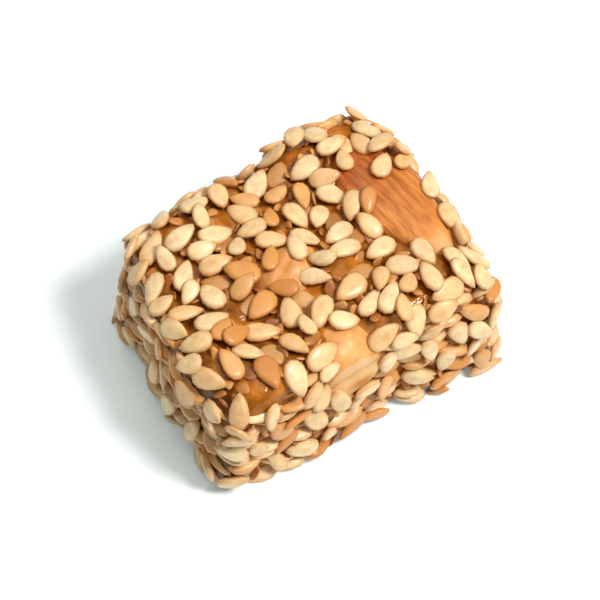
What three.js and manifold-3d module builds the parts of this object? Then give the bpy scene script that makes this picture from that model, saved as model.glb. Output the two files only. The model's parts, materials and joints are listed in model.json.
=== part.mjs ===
// Sesame brittle slab: toasted sesame seeds and chopped nuts bound with dark caramel, rolled out
// on a flat board, and cut by hand into thick, uneven slabs about as long as the top joint of a thumb.
// The seeds stand half out of the caramel on the top and on the four cut sides. The underside is
// pressed flat. Larger pieces of almond and peanut are bedded in it and show at the surface.
//
// Units are millimetres. +Z is up, +X runs along the long front cut, and the origin is at the middle
// of the underside.

import * as THREE from "three";
import { ConvexGeometry } from "three/addons/geometries/ConvexGeometry.js";
import { mergeVertices } from "three/addons/utils/BufferGeometryUtils.js";
import Module from "manifold-3d";

// ---------------------------------------------------------------- driving dimensions

// The caramel body, without the seeds that stand out of it: its four corners on the board, and its
// height. No two cuts are quite parallel.
const CORNERS = {
  frontLeft: [-13.8, -11.2],
  frontRight: [13.8, -11.3],
  backRight: [14.2, 11.3],
  backLeft: [-13.9, 11.2],
};
const CORE_HEIGHT = 13.4;
const EDGE_RADIUS = 2.5; // soft edges, drawn in while the caramel was warm
const BASE_SINK = 1.3; // how far the rounded body reaches below the board before it is pressed flat
const TOP_FALL = 0.3; // the top drops this much from its right end to its left end
const FOOT_SPREAD = 1.1; // the corners spread by this much at the board, where they stay sharper
const SLUMP_IN = 1.9; // the back left corner slumped in by this much at its top
const SLUMP_DOWN = 0.7; // and down by this much

// Long, low swells of the hand-cut faces: height in mm, and turns per mm along X, Y and Z.
const SWELLS = [
  { height: 0.3, along: [0.41, 0.33, 0.1], phase: 1.3 },
  { height: 0.22, along: [-0.52, 0.71, 0.38], phase: 2.1 },
  { height: 0.16, along: [0.93, 0.21, -0.84], phase: 0.6 },
];

const SEED_LENGTH = 2.95;
const SEED_WIDTH = 1.84;
const SEED_THICKNESS = 1.0;
const SEED_TAPER = 0.3; // how much narrower the pointed end is

const SCATTER_SEED = 2741;
const BASE_CLEAR = 0.45; // no seed's middle is lower than this

// The seeds go on in layers. Seeds of one layer keep off each other, and lap over those below.
// size: the largest seeds first. stand: a seed's middle above the caramel. keep: the share of
// two seeds' widths that stays clear between them. lap: the same share towards the layers below.
const LAYERS = [
  { darts: 3000, size: [0.98, 1.12], stand: 0.1, tilt: 0.12, keep: 0.96, lap: 0.96 },
  { darts: 3000, size: [0.84, 0.98], stand: 0.04, tilt: 0.16, keep: 0.84, lap: 0.84 },
  { darts: 700, size: [0.9, 1.06], stand: 0.36, tilt: 0.3, keep: 1, lap: 0.64 },
];
// On the cut sides many seeds lie edge on, in line with the layers that were rolled out.
const SIDE_HEADING = 0.4; // radians that such a seed may turn away from level
const EDGE_ON_ENDS = 0.96; // share of the seeds at the left and right ends that stand on edge
const EDGE_ON_LONG = 0.45; // and the same at the front and the back
const EDGE_ROLL = 1.32; // radians that such a seed is rolled up onto its edge
const EDGE_SINK = 0.5; // such a seed lies this much deeper
const EDGE_GIRTH = 0.62; // and takes this share of the room

// Nut pieces: where the middle is, its half sizes along its own axes, how it is turned about X, Y
// and Z in degrees, how much it narrows towards its own +X end, and how much of its outer half is
// left where the knife went through it.
const NUTS = [
  {
    name: "almond_piece_top",
    kind: "almond",
    at: [10.2, 0.5, 12.2],
    half: [6.9, 3.5, 1.9],
    turn: [0, 2, -84],
    taper: 0.28,
    left: 1,
  },
  {
    name: "peanut_piece_top",
    kind: "peanut",
    at: [-1.5, -0.9, 11.9],
    half: [3.3, 2.6, 2.0],
    turn: [0, 0, 24],
    taper: 0.1,
    left: 1,
  },
  {
    name: "peanut_piece_front",
    kind: "peanut",
    at: [-1.3, -8.9, 9.3],
    half: [4.2, 3.6, 3.4],
    turn: [90, 0, 12],
    taper: 0.1,
    left: 0.76,
  },
  {
    name: "peanut_piece_back",
    kind: "peanut",
    at: [3.2, 9.4, 7.0],
    half: [4.4, 3.6, 2.6],
    turn: [-90, 0, 24],
    taper: 0.14,
    left: 1,
  },
  {
    name: "almond_sliver_right",
    kind: "almond",
    at: [12.9, 4.2, 4.9],
    half: [4.6, 1.8, 2.2],
    turn: [102, 90, 0],
    taper: 0.2,
    left: 0.8,
  },
];
// Patches where the caramel pooled and took no seeds: the middle, and how far it reaches.
const BARE_PATCHES = [
  { at: [-9.4, -10.9, 12.3], reach: 1.9 },
  { at: [-3.4, 6.4, 13.2], reach: 1.3 },
  { at: [-8.2, -2.1, 13.2], reach: 1.5 },
  { at: [2.6, -3.4, 13.3], reach: 1.3 },
  { at: [10.2, 9.2, 13.0], reach: 1.4 },
];
const POCKET_GAP = 0.3; // between a nut piece and the caramel round it
const NUT_CLEAR = 0.45; // seeds keep this far from a nut piece

const COLOURS = {
  brittle: 0xc08a4e,
  almond: 0xb1652e,
  peanut: 0xe6a862,
};

// ---------------------------------------------------------------- helpers

const wasm = await Module();
wasm.setup();

// The same run of draws each time: a multiplicative generator, from 0 up to 1.
function seededDraws(seed) {
  let state = seed;
  return () => {
    state = (state * 48271) % 2147483647;
    return state / 2147483647;
  };
}

// A closed three.js geometry as a solid that can be joined and cut.
function solidOf(geometry) {
  const bare = geometry.clone();
  bare.deleteAttribute("normal");
  bare.deleteAttribute("uv");
  const merged = mergeVertices(bare, 1e-5);
  return new wasm.Manifold(
    new wasm.Mesh({
      numProp: 3,
      vertProperties: new Float32Array(merged.attributes.position.array),
      triVerts: new Uint32Array(merged.index.array),
    }),
  );
}

function geometryOf(solid) {
  const mesh = solid.getMesh();
  const geometry = new THREE.BufferGeometry();
  geometry.setAttribute("position", new THREE.BufferAttribute(mesh.vertProperties, 3));
  geometry.setIndex(new THREE.BufferAttribute(mesh.triVerts, 1));
  return geometry;
}

// Moves each vertex of a geometry to where place() puts it.
function reshape(geometry, place) {
  const position = geometry.attributes.position;
  const vertex = new THREE.Vector3();
  for (let i = 0; i < position.count; i += 1) {
    place(vertex.fromBufferAttribute(position, i));
    position.setXYZ(i, vertex.x, vertex.y, vertex.z);
  }
  return geometry;
}

// ---------------------------------------------------------------- the caramel body

const lerp = THREE.MathUtils.lerp;
const { frontLeft, frontRight, backRight, backLeft } = CORNERS;
const CORE_LENGTH = (frontRight[0] - frontLeft[0] + backRight[0] - backLeft[0]) / 2;
const CORE_DEPTH = (backLeft[1] - frontLeft[1] + backRight[1] - frontRight[1]) / 2;
const BODY_HALF = new THREE.Vector3(CORE_LENGTH, CORE_DEPTH, CORE_HEIGHT + BASE_SINK).divideScalar(2);

// Takes a point on the surface of a plain box of half sizes BODY_HALF, centred on the origin, to
// the slab: edges rounded, faces gently swelling, and the four corners where they belong.
function slabPoint(point) {
  const flat = BODY_HALF.clone().subScalar(EDGE_RADIUS);
  const inner = point.clone().clamp(flat.clone().negate(), flat);
  const outward = point.clone().sub(inner).normalize();
  const rounded = inner.addScaledVector(outward, EDGE_RADIUS);
  let swell = 0;
  for (const { height, along, phase } of SWELLS) {
    const turns = along[0] * rounded.x + along[1] * rounded.y + along[2] * rounded.z;
    swell += height * Math.sin(turns + phase);
  }
  rounded.addScaledVector(outward, swell);
  const right = rounded.x / CORE_LENGTH + 0.5;
  const back = rounded.y / CORE_DEPTH + 0.5;
  const rise = rounded.z / (2 * BODY_HALF.z) + 0.5;
  const [x, y] = [0, 1].map((axis) =>
    lerp(
      lerp(frontLeft[axis], frontRight[axis], right),
      lerp(backLeft[axis], backRight[axis], right),
      back,
    ),
  );
  const foot = FOOT_SPREAD * (1 - rise) * Math.abs((2 * right - 1) * (2 * back - 1)) ** 4;
  const slump = Math.abs((1 - right) * back) ** 3 * (0.5 + 0.5 * rise);
  return point.set(
    x + foot * Math.sign(rounded.x) + SLUMP_IN * slump,
    y + foot * Math.sign(rounded.y) - SLUMP_IN * slump,
    rounded.z + BODY_HALF.z - BASE_SINK - TOP_FALL * (1 - right) * rise - SLUMP_DOWN * slump,
  );
}

const BODY_STEPS = [8, 7, 6];
const EDGE_STEPS = 2; // grid steps that bend round each edge

// A box grid with its outer steps drawn in to the rounded edges, then shaped.
function bodySolid() {
  const [nx, ny, nz] = BODY_STEPS;
  const box = new THREE.BoxGeometry(2, 2, 2, nx, ny, nz);
  const spread = (value, half, steps) => {
    const edge = 1 - (2 * EDGE_STEPS) / steps;
    const size = Math.abs(value);
    const flat = half - EDGE_RADIUS;
    const reach =
      size <= edge ? (size / edge) * flat : flat + ((size - edge) / (1 - edge)) * EDGE_RADIUS;
    return Math.sign(value) * reach;
  };
  reshape(box, (vertex) => {
    vertex.set(
      spread(vertex.x, BODY_HALF.x, nx),
      spread(vertex.y, BODY_HALF.y, ny),
      spread(vertex.z, BODY_HALF.z, nz),
    );
    slabPoint(vertex);
  });
  return solidOf(box);
}

// ---------------------------------------------------------------- nut pieces

// A nut piece in its own frame: a rounded body that narrows towards +X. An almond is slimmer and
// comes to a point, and a peanut half is blunt with a shallow crease down its outer face.
const ALMOND_POINT = 0.12;
const PEANUT_CREASE = 0.1;
const FULLNESS = { almond: 0.62, peanut: 1 }; // below 1 the broad faces are flatter, the shoulders fuller

function nutGeometry({ kind, half, taper, left }, grow) {
  const ball = new THREE.SphereGeometry(1, 12, 8);
  return reshape(ball, (vertex) => {
    const { x, y } = vertex;
    const z = Math.min(Math.sign(vertex.z) * Math.abs(vertex.z) ** FULLNESS[kind], left);
    const width = 1 - taper * x;
    const tip = kind === "almond" ? ALMOND_POINT * Math.max(0, x) ** 3 : 0;
    const crease = kind === "peanut" && z > 0 ? PEANUT_CREASE * Math.exp(-((y / 0.16) ** 2)) * z : 0;
    vertex.set(
      (half[0] + grow) * (x + tip),
      (half[1] + grow) * y * width,
      (half[2] + grow) * z - (grow > 0 ? 0 : crease * half[2]),
    );
  });
}

function nutMatrix({ at, turn }) {
  const [x, y, z] = turn.map(THREE.MathUtils.degToRad);
  const matrix = new THREE.Matrix4().makeRotationFromEuler(new THREE.Euler(x, y, z, "XYZ"));
  return matrix.setPosition(...at);
}

// True where a point lies inside a nut piece that is grown by some millimetres.
function insideNut(nut, point, grow) {
  const local = point.clone().applyMatrix4(nutMatrix(nut).invert());
  const [a, b, c] = nut.half.map((half) => half + grow);
  const rise = Math.abs(local.z / c) ** (1 / FULLNESS[nut.kind]);
  return (local.x / a) ** 2 + (local.y / b) ** 2 + rise ** 2 < 1;
}

// ---------------------------------------------------------------- seeds

// One seed lies along X, with its flat sides up and down and its point towards +X. Its back has a
// short level ridge, and its belly comes to a point that is sunk in the caramel.
const SEED_SIDES = 6;
const SEED_RIDGE = 0.42; // half length of the ridge, as a share of the seed's half length

function seedGeometry(size) {
  const points = [];
  for (let side = 0; side < SEED_SIDES; side += 1) {
    const angle = (side / SEED_SIDES) * 2 * Math.PI;
    const across = Math.sin(angle) * (1 - SEED_TAPER * Math.cos(angle));
    points.push(new THREE.Vector3(Math.cos(angle), across, 0));
  }
  points.push(new THREE.Vector3(-SEED_RIDGE, 0, 1), new THREE.Vector3(SEED_RIDGE, 0, 1));
  points.push(new THREE.Vector3(0, 0, -1));
  const half = new THREE.Vector3(SEED_LENGTH, SEED_WIDTH, SEED_THICKNESS).multiplyScalar(size / 2);
  return new ConvexGeometry(points.map((point) => point.multiply(half)));
}

// Draws a place on the five upper faces of the plain box, each by its share of the surface.
function drawBoxPoint(draw) {
  const { x: hx, y: hy, z: hz } = BODY_HALF;
  const wall = 2 * hz - BASE_SINK;
  const pick = draw() * (4 * hx * hy + 4 * (hx + hy) * wall);
  const s = 2 * draw() - 1;
  const t = 2 * draw() - 1;
  const up = hz - (wall * (1 - t)) / 2;
  if (pick < 2 * hx * wall) return new THREE.Vector3(hx * s, -hy, up);
  if (pick < 4 * hx * wall) return new THREE.Vector3(hx * s, hy, up);
  if (pick < (4 * hx + 2 * hy) * wall) return new THREE.Vector3(-hx, hy * s, up);
  if (pick < 4 * (hx + hy) * wall) return new THREE.Vector3(hx, hy * s, up);
  return new THREE.Vector3(hx * s, hy * t, hz);
}

// The slab's surface at a box point: the place, the level direction along the surface, the
// direction up the surface, the direction straight out of it, and the share of edge-on seeds there.
const PROBE = 0.05;

function surfaceAt(boxPoint) {
  const flat = BODY_HALF.clone().subScalar(EDGE_RADIUS);
  const inner = boxPoint.clone().clamp(flat.clone().negate(), flat);
  const outward = boxPoint.clone().sub(inner).normalize();
  const isTop = boxPoint.z === BODY_HALF.z;
  const isEnd = Math.abs(boxPoint.x) === BODY_HALF.x;
  const first = isTop ? new THREE.Vector3(1, 0, 0) : new THREE.Vector3(-outward.y, outward.x, 0);
  first.addScaledVector(outward, -first.dot(outward)).normalize();
  const second = outward.clone().cross(first);
  const at = (u, v) => {
    const near = inner.clone().addScaledVector(outward, EDGE_RADIUS);
    return slabPoint(near.addScaledVector(first, u).addScaledVector(second, v));
  };
  const level = at(PROBE, 0).sub(at(-PROBE, 0)).normalize();
  const normal = level.clone().cross(at(0, PROBE).sub(at(0, -PROBE))).normalize();
  const edgeShare = isTop ? 0 : isEnd ? EDGE_ON_ENDS : EDGE_ON_LONG;
  return { place: at(0, 0), level, upward: normal.clone().cross(level), normal, edgeShare };
}

// Turns two directions that stand square to each other by an angle, the first towards the second.
function turned(first, second, angle) {
  const cos = Math.cos(angle);
  const sin = Math.sin(angle);
  return [
    first.clone().multiplyScalar(cos).addScaledVector(second, sin),
    second.clone().multiplyScalar(cos).addScaledVector(first, -sin),
  ];
}

// A seed's own axes: along it, across it, and out of its back.
function seedAxes({ level, upward, normal }, heading, roll, lean) {
  let [along, across] = turned(level, upward, heading);
  let back = normal;
  [across, back] = turned(across, back, roll);
  [along, back] = turned(along, back, lean);
  return [along, across, back];
}

// Throws darts at the surface, layer by layer, and keeps a seed where it has room. For this each
// seed is three balls in a row.
const BALL_STEP = 0.3; // from one ball to the next, as a share of a seed's length
const BALL_SIZES = [0.86, 1, 0.62]; // at its blunt end, its middle and its point

function takesSeed(place) {
  if (place.z < BASE_CLEAR) return false;
  if (NUTS.some((nut) => insideNut(nut, place, NUT_CLEAR))) return false;
  return BARE_PATCHES.every(({ at, reach }) => place.distanceTo(new THREE.Vector3(...at)) > reach);
}

function scatterSeeds() {
  const draw = seededDraws(SCATTER_SEED);
  const seeds = [];
  LAYERS.forEach((layer, depth) => {
    for (let dart = 0; dart < layer.darts; dart += 1) {
      const surface = surfaceAt(drawBoxPoint(draw));
      const [headingDraw, edgeDraw, rollDraw, leanDraw] = [draw(), draw(), draw(), draw()];
      const onEdge = edgeDraw < surface.edgeShare;
      const size = layer.size[1] - ((layer.size[1] - layer.size[0]) * dart) / layer.darts;
      const levelHeading = SIDE_HEADING * (2 * leanDraw - 1);
      const freeHeading = headingDraw * 2 * Math.PI;
      const turnedBack = headingDraw < 0.5 ? Math.PI : 0;
      const heading = onEdge ? levelHeading + turnedBack : freeHeading;
      const roll = layer.tilt * (2 * rollDraw - 1) + (onEdge ? EDGE_ROLL : 0);
      const lean = layer.tilt * (2 * leanDraw - 1);
      if (!takesSeed(surface.place)) continue;

      const axes = seedAxes(surface, heading, roll, lean);
      const stand = layer.stand - (onEdge ? EDGE_SINK : 0);
      const middle = surface.place.clone().addScaledVector(surface.normal, stand);
      const girth = (SEED_WIDTH / 2) * size * (onEdge ? EDGE_GIRTH : 1);
      const balls = BALL_SIZES.map((share, step) => ({
        at: middle.clone().addScaledVector(axes[0], (step - 1) * BALL_STEP * SEED_LENGTH * size),
        radius: girth * share,
      }));
      const hasRoom = seeds.every((other) => {
        const share = other.depth === depth ? layer.keep : layer.lap;
        return balls.every(({ at, radius }) =>
          other.balls.every((taken) => at.distanceTo(taken.at) > share * (radius + taken.radius)),
        );
      });
      if (hasRoom) seeds.push({ middle, axes, size, depth, balls });
    }
  });
  return seeds;
}

function seedSolid({ middle, axes, size }) {
  const matrix = new THREE.Matrix4().makeBasis(...axes).setPosition(middle);
  return solidOf(seedGeometry(size).applyMatrix4(matrix));
}

// ---------------------------------------------------------------- the slab

// The board that presses the underside flat: everything above Z = 0.
function aboveBoard() {
  const room = 60;
  return solidOf(new THREE.BoxGeometry(room, room, room).translate(0, 0, room / 2));
}

function slabSolid() {
  let slab = bodySolid();
  const seeds = scatterSeeds();
  for (const seed of seeds) slab = slab.add(seedSolid(seed));
  slab = slab.intersect(aboveBoard());
  for (const nut of NUTS) {
    const pocket = nutGeometry(nut, POCKET_GAP).applyMatrix4(nutMatrix(nut));
    slab = slab.subtract(solidOf(pocket));
  }
  return slab.decompose().reduce((most, body) => (body.volume() > most.volume() ? body : most));
}

const slab = new THREE.Group();

const brittle = new THREE.Mesh(
  geometryOf(slabSolid()),
  new THREE.MeshStandardMaterial({ color: COLOURS.brittle, roughness: 0.45, metalness: 0 }),
);
brittle.name = "brittle_slab";
slab.add(brittle);

for (const nut of NUTS) {
  const piece = new THREE.Mesh(
    nutGeometry(nut, 0),
    new THREE.MeshStandardMaterial({ color: COLOURS[nut.kind], roughness: 0.6, metalness: 0 }),
  );
  piece.name = nut.name;
  piece.applyMatrix4(nutMatrix(nut));
  slab.add(piece);
}

export default slab;
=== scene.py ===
# Sesame brittle slab: toasted sesame seeds and chopped nuts bound with dark caramel, rolled out flat
# and cut by hand. The pieces are made in the order in which the sweet comes together: the slab's form,
# the seeds on it, the nuts bedded in it, and the caramel that holds them all.

import json
import math

import bpy
import numpy as np
from mathutils import Matrix, Vector

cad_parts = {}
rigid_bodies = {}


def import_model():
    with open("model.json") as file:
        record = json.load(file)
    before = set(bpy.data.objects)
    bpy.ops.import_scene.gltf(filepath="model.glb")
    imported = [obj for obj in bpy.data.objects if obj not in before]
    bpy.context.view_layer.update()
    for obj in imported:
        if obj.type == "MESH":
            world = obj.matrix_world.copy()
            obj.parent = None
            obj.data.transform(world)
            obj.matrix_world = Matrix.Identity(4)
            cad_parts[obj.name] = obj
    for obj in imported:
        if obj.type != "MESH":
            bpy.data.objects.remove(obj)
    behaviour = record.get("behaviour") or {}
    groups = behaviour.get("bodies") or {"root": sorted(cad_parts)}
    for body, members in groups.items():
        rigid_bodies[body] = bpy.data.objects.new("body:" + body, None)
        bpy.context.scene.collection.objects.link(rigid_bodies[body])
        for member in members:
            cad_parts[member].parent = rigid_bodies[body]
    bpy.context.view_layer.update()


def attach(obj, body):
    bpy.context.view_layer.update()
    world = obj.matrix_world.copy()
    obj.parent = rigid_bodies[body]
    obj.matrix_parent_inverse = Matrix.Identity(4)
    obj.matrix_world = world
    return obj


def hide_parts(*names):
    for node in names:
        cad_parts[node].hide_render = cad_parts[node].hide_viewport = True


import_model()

# ---------------------------------------------------------------- the slab's form
# A block of warm brittle, pressed flat on a board and cut with a knife into uneven slabs. Its edges
# drew in while it was warm, its faces swell a little, and its back left corner slumped. All of it is
# worked out in millimetres, from four corners and a few heights.

FRONT_CORNERS = np.array([[-13.8, -11.2], [13.8, -11.3]])  # left and right
BACK_CORNERS = np.array([[-13.9, 11.2], [14.2, 11.3]])
CORE_HEIGHT = 13.4
EDGE_RADIUS = 2.5
BASE_SINK = 1.3  # how far the rounded block reaches below the board before it is pressed flat
TOP_FALL = 0.3  # from the right end of the top to its left end
FOOT_SPREAD = 1.1  # how far the corners spread at the board
FOOT_SHARPNESS = 4  # the higher, the closer the spread keeps to the corners
SLUMP_IN = 1.9  # how much further in the slumped corner lies, and how much lower
SLUMP_DOWN = 0.7
SLUMP_SHARPNESS = 3
SWELLS = [  # height, radians per mm along X, Y and Z, and where the wave starts
    (0.3, (0.41, 0.33, 0.1), 1.3),
    (0.22, (-0.52, 0.71, 0.38), 2.1),
    (0.16, (0.93, 0.21, -0.84), 0.6),
]

CORE_LENGTH = (np.ptp(FRONT_CORNERS[:, 0]) + np.ptp(BACK_CORNERS[:, 0])) / 2
CORE_DEPTH = (BACK_CORNERS - FRONT_CORNERS)[:, 1].sum() / 2
BODY_HALF = np.array([CORE_LENGTH, CORE_DEPTH, CORE_HEIGHT + BASE_SINK]) / 2
FLAT_HALF = BODY_HALF - EDGE_RADIUS


def unit(vectors):
    """The same directions, each of length 1."""
    return vectors / np.linalg.norm(vectors, axis=-1, keepdims=True)


def slab_points(box_points):
    """Takes points on a plain box, centred on the origin, to the slab's surface."""
    inner = np.clip(box_points, -FLAT_HALF, FLAT_HALF)
    outward = unit(box_points - inner)
    rounded = inner + EDGE_RADIUS * outward
    swell = sum(height * np.sin(rounded @ np.array(along) + phase) for height, along, phase in SWELLS)
    x, y, z = (rounded + swell[:, None] * outward).T
    right = x / CORE_LENGTH + 0.5
    back = y / CORE_DEPTH + 0.5
    rise = z / (2 * BODY_HALF[2]) + 0.5
    front_line = FRONT_CORNERS[0] + np.outer(right, FRONT_CORNERS[1] - FRONT_CORNERS[0])
    back_line = BACK_CORNERS[0] + np.outer(right, BACK_CORNERS[1] - BACK_CORNERS[0])
    plan = front_line + back[:, None] * (back_line - front_line)
    foot = FOOT_SPREAD * (1 - rise) * np.abs((2 * right - 1) * (2 * back - 1)) ** FOOT_SHARPNESS
    slump = np.abs((1 - right) * back) ** SLUMP_SHARPNESS * (0.5 + 0.5 * rise)
    return np.stack(
        [
            plan[:, 0] + foot * np.sign(x) + SLUMP_IN * slump,
            plan[:, 1] + foot * np.sign(y) - SLUMP_IN * slump,
            z + BODY_HALF[2] - BASE_SINK - TOP_FALL * (1 - right) * rise - SLUMP_DOWN * slump,
        ],
        axis=1,
    )


PROBE = 0.05  # mm to either side, to find how the surface lies


def surface_at(box_points, is_top):
    """The places on the slab, and there the level direction, the one up the face, and the one out."""
    inner = np.clip(box_points, -FLAT_HALF, FLAT_HALF)
    outward = unit(box_points - inner)
    round_wall = np.stack([-outward[:, 1], outward[:, 0], np.zeros(len(outward))], axis=1)
    first = np.where(is_top[:, None], [1.0, 0.0, 0.0], round_wall)
    first = unit(first - (first * outward).sum(1, keepdims=True) * outward)
    second = np.cross(outward, first)
    near = inner + EDGE_RADIUS * outward
    level = unit(slab_points(near + PROBE * first) - slab_points(near - PROBE * first))
    upward = slab_points(near + PROBE * second) - slab_points(near - PROBE * second)
    normal = unit(np.cross(level, upward))
    return slab_points(near), level, np.cross(normal, level), normal


# ---------------------------------------------------------------- where the nuts lie
# Pieces of toasted almond and roast peanut, chopped into the mix and rolled in with the seeds. Each
# has its middle, its half sizes, its turn in degrees, how much it narrows, how much of it the knife
# left, and its fullness, which is less than 1 for flat faces and full edges.

NUTS = {
    "almond_piece_top": {
        "at": (10.2, 0.5, 12.2), "half": (6.9, 3.5, 1.9), "turn": (0, 2, -84),
        "taper": 0.28, "left": 1, "fullness": 0.62,
    },
    "almond_sliver_right": {
        "at": (12.9, 4.2, 4.9), "half": (4.6, 1.8, 2.2), "turn": (102, 90, 0),
        "taper": 0.2, "left": 0.8, "fullness": 0.62,
    },
    "peanut_piece_top": {
        "at": (-1.5, -0.9, 11.9), "half": (3.3, 2.6, 2.0), "turn": (0, 0, 24),
        "taper": 0.1, "left": 1, "fullness": 1,
    },
    "peanut_piece_front": {
        "at": (-1.3, -8.9, 9.3), "half": (4.2, 3.6, 3.4), "turn": (90, 0, 12),
        "taper": 0.1, "left": 0.76, "fullness": 1,
    },
    "peanut_piece_back": {
        "at": (3.2, 9.4, 7.0), "half": (4.4, 3.6, 2.6), "turn": (-90, 0, 24),
        "taper": 0.14, "left": 1, "fullness": 1,
    },
}


def nut_turn(nut):
    """Turned about Z first, then Y, then X."""
    x, y, z = (math.radians(angle) for angle in nut["turn"])
    turns = [Matrix.Rotation(angle, 3, axis) for angle, axis in ((x, "X"), (y, "Y"), (z, "Z"))]
    return np.array(turns[0] @ turns[1] @ turns[2])


def inside_nut(nut, places, grow):
    """True where a place lies inside a nut that is grown by some millimetres."""
    x, y, z = ((places - nut["at"]) @ nut_turn(nut) / (np.array(nut["half"]) + grow)).T
    return x**2 + y**2 + (np.abs(z) ** (1 / nut["fullness"])) ** 2 < 1


# ---------------------------------------------------------------- sesame seeds and nut crumbs
# Whole hulled sesame seeds, about 3 mm long, toasted unevenly from cream to deep orange, and crumbs of
# chopped nut. They stick half out of the caramel all over the top and the cut sides, more of them are
# sunk in the gaps, and those of the underside were pressed level by the board.

MM = 0.001  # forms are worked out in millimetres, and meshes are in metres
SEED_LENGTH = 2.95
SEED_WIDTH = 1.84
SEED_THICKNESS = 0.78
SCATTER_SEED = 2741
DRAWS_PER_DART = 7
BASE_CLEAR = 0.45  # mm from the board to the lowest seeds of the sides
BASE_INSET = 1.6  # mm from the edge of the plain box to the seeds of the underside
NUT_CLEAR = 0.45  # mm that seeds stay clear of a nut
SUNK_NUT_CLEAR = 0.9
NUT_BORDER = (-0.35, 0.5)  # mm from a nut's rim, between which the middle of a border seed lies
NUT_LAP = 0.3  # a seed that lies over a nut has its middle this far off it

# The seeds lay flat in the rolled sheet, so many of them stand on edge where the knife went through:
# they lie along the side, more or less level, and deep in it.
EDGE_SHARES = [0.45, 0.45, 0.96, 0.96, 0]  # of the front, the back, the left and right ends and the top
TOP_FACE = 4  # as these five are counted
SIDE_HEADING = 0.4  # radians that they turn from level at most
EDGE_ROLL = 1.32  # radians that they are rolled up
EDGE_SINK = 0.5  # mm that they lie deeper than others
EDGE_GIRTH = 0.62  # of the width that others need
WALL_STAND = 0.42  # mm that the middle of any seed of a side stands out at most

# Where room is measured, three balls stand for a seed, the last one at its point.
BALL_STEP = 0.3  # seed lengths from one to the next
BALL_SIZES = np.array([0.86, 1, 0.62])  # in half widths of the seed

# Each layer: how many darts are thrown, the sizes from the last to the first, how far the middle of a
# seed stands out, how much it tilts, and the share of two seeds' widths that stays clear between
# them, in the same layer and towards those before it. Where on_edge is given, only that part of the
# shares above stands on edge.
STANDING_LAYERS = [
    {"darts": 3000, "size": (0.98, 1.12), "stand": 0.1, "tilt": 0.12, "keep": 0.96, "lap": 0.96},
    {"darts": 3000, "size": (0.84, 0.98), "stand": 0.04, "tilt": 0.16, "keep": 0.84, "lap": 0.84},
    {"darts": 700, "size": (0.9, 1.06), "stand": 0.36, "tilt": 0.3, "keep": 1, "lap": 0.64},
]
NUT_BORDER_LAYER = {
    "darts": 5000, "size": (0.86, 1.02), "stand": 0.3, "tilt": 0.3, "keep": 0.9, "lap": 0.72,
}
STREWN_LAYER = {
    "darts": 900, "size": (0.84, 1.0), "stand": 0.56, "tilt": 0.42, "keep": 1.1, "lap": 0.62,
    "on_edge": 0.4,
}
SUNK_LAYER = {
    "darts": 9000, "size": (0.84, 1.04), "stand": -0.42, "tilt": 0.3, "keep": 0.9, "lap": 0.68,
    "on_edge": 0.3,
}
UNDERSIDE_LAYER = {
    "darts": 6000, "size": (0.86, 1.1), "stand": -0.33, "tilt": 0.06, "keep": 0.84, "lap": 0.66,
}
CRUMB_LAYER = {
    "darts": 7000, "size": (0.34, 0.52), "stand": -0.2, "tilt": 0.9, "keep": 1, "lap": 0.7,
}

# Where the caramel pooled and took no seeds: the middle, and how far it reaches.
BARE_PATCHES = [
    ((-9.4, -10.9, 12.3), 1.9),
    ((-3.4, 6.4, 13.2), 1.3),
    ((-8.2, -2.1, 13.2), 1.5),
    ((2.6, -3.4, 13.3), 1.3),
    ((10.2, 9.2, 13.0), 1.4),
]
RIM_POOLS = [  # between the almond and the edge, where only the first seeds stick
    ((13.5, -1.8, 12.2), 1.5),
    ((13.6, 1.6, 12.2), 1.5),
]


DRAW_FACTOR = 48271  # of the minimal standard generator, as is the modulus
DRAW_MODULUS = 2**31 - 1


def seeded_draws(seed):
    """The same run of draws each time, from 0 up to 1."""
    state = seed
    while True:
        state = (state * DRAW_FACTOR) % DRAW_MODULUS
        yield state / DRAW_MODULUS


def draw_box_points(draws):
    """Places on the plain box, on each face but the lowest by its share of the surface, and the
    number of the face: front, back, left end, right end and top."""
    hx, hy, hz = BODY_HALF
    wall = 2 * hz - BASE_SINK
    pick = draws[:, 0] * (4 * hx * hy + 4 * (hx + hy) * wall)
    s, t = 2 * draws[:, 1] - 1, 2 * draws[:, 2] - 1
    up = hz - wall * (1 - t) / 2
    limits = [2 * hx * wall, 4 * hx * wall, (4 * hx + 2 * hy) * wall, 4 * (hx + hy) * wall]
    face = np.searchsorted(limits, pick, side="right")
    even = np.ones(len(draws))
    x = np.choose(face, [hx * s, hx * s, -hx * even, hx * even, hx * s])
    y = np.choose(face, [-hy * even, hy * even, hy * s, hy * s, hy * t])
    z = np.choose(face, [up, up, up, up, hz * even])
    return np.stack([x, y, z], axis=1), face


def turned(first, second, angle):
    """Turns two directions that stand square to each other, the first towards the second."""
    cos, sin = np.cos(angle)[:, None], np.sin(angle)[:, None]
    return first * cos + second * sin, second * cos - first * sin


LIFTS = 5
LIFT = 0.1  # mm that a seed is raised at a time, until it clears the nut below it


def lifted_off_nuts(middle, normal):
    """Where seeds lie once they are raised off the nuts, and which of them that is enough for."""
    for _ in range(LIFTS):
        on_nut = np.any([inside_nut(nut, middle, NUT_LAP) for nut in NUTS.values()], axis=0)
        middle = middle + LIFT * normal * on_nut[:, None]
    return middle, ~on_nut


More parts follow.
